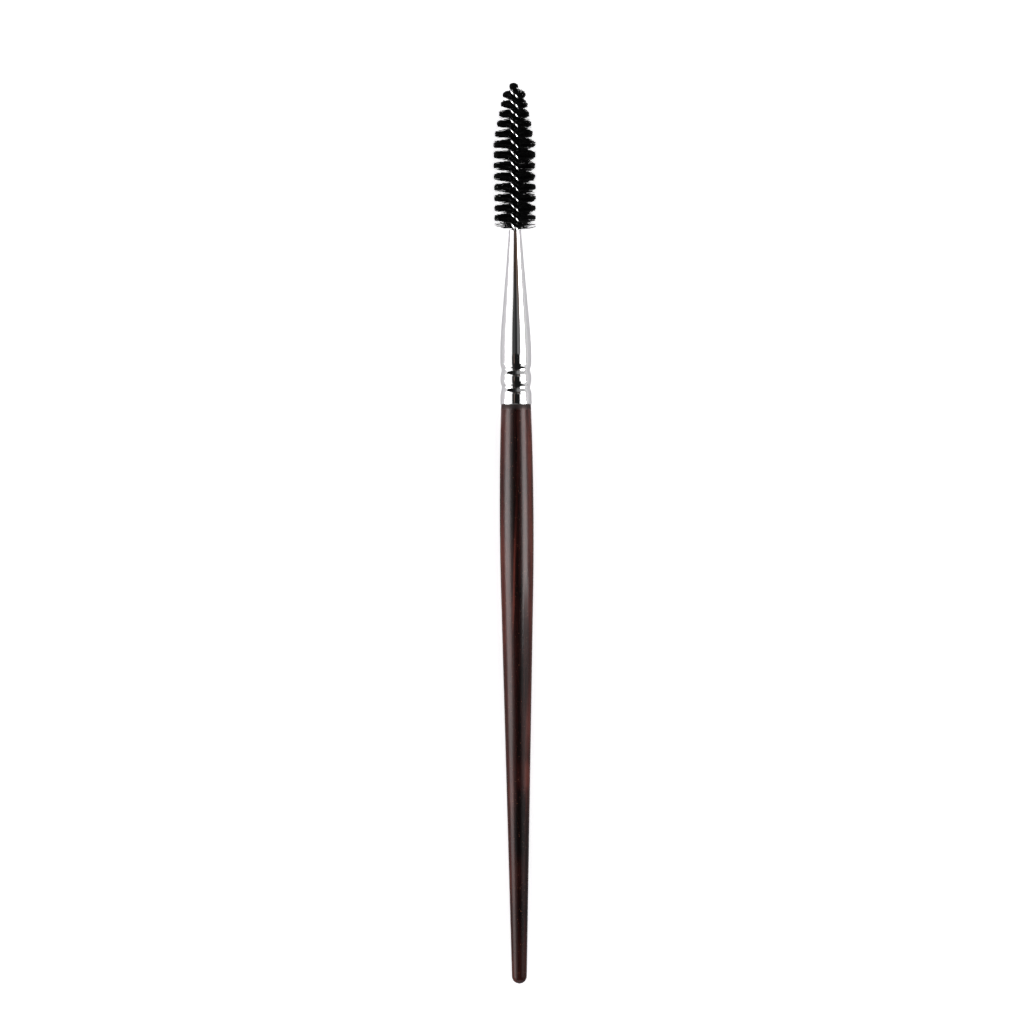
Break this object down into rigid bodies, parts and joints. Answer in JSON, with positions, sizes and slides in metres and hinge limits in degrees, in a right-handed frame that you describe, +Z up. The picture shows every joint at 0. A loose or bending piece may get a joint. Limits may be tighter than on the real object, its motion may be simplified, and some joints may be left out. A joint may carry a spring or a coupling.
{
  "type": "eyebrow brush",
  "caption": "Eyebrow brush: a twisted-wire head of black nylon bristles in a bright crimped ferrule on a slim tapered dark wood handle, lying on its side.",
  "frame": {"origin": "centre of the bounding box's base, on the surface that the brush lies on", "axes": "+Y along the brush from the butt of the handle to the tip of the head, +Z up from the surface"},
  "size_m": [0.0086, 0.1802, 0.0088],
  "materials": {
    "handle_wood": "dark reddish-brown hardwood under a satin lacquer, with fine streaks along the grain",
    "ferrule_plate": "bright plated brass tube, polished",
    "wire_steel": "bright drawn steel wire",
    "bristle_nylon": "black nylon filaments, faintly glossy",
    "adhesive": "cured brown adhesive"
  },
  "bodies": {
    "root": {"handle": "handle_wood", "ferrule": "ferrule_plate", "wire_core": "wire_steel", "bristles": "bristle_nylon", "adhesive_plug": "adhesive"}
  },
  "joints": []
}
